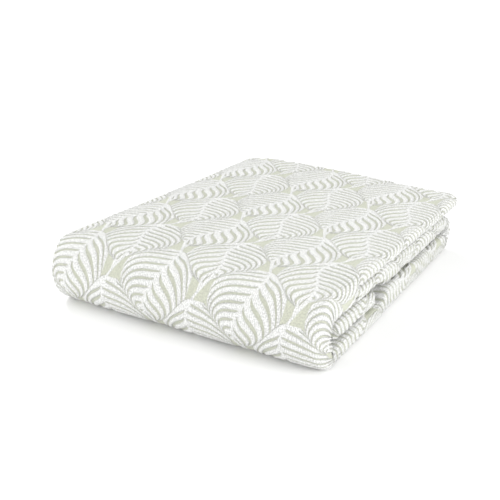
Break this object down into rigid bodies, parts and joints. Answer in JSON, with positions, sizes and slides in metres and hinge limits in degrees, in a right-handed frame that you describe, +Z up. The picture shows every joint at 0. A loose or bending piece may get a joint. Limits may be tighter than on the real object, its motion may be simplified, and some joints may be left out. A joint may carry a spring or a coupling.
{
  "type": "folded jacquard bedspread",
  "caption": "White and sage jacquard bedspread folded into a flat packet, its cloth smooth round the front and its folds open at the right end.",
  "frame": {"origin": "centre of the packet's box, on the plane it rests on", "axes": "+Z up out of the packet, +Y from the smooth front fold to the free end of the top, +X towards the end where the folds show"},
  "size_m": [0.3706, 0.4855, 0.0862],
  "materials": {
    "jacquard_cloth": "matt, with raised white leaves on a flat sage ground"
  },
  "bodies": {
    "root": {"bedspread_cloth": "jacquard_cloth"}
  },
  "joints": []
}
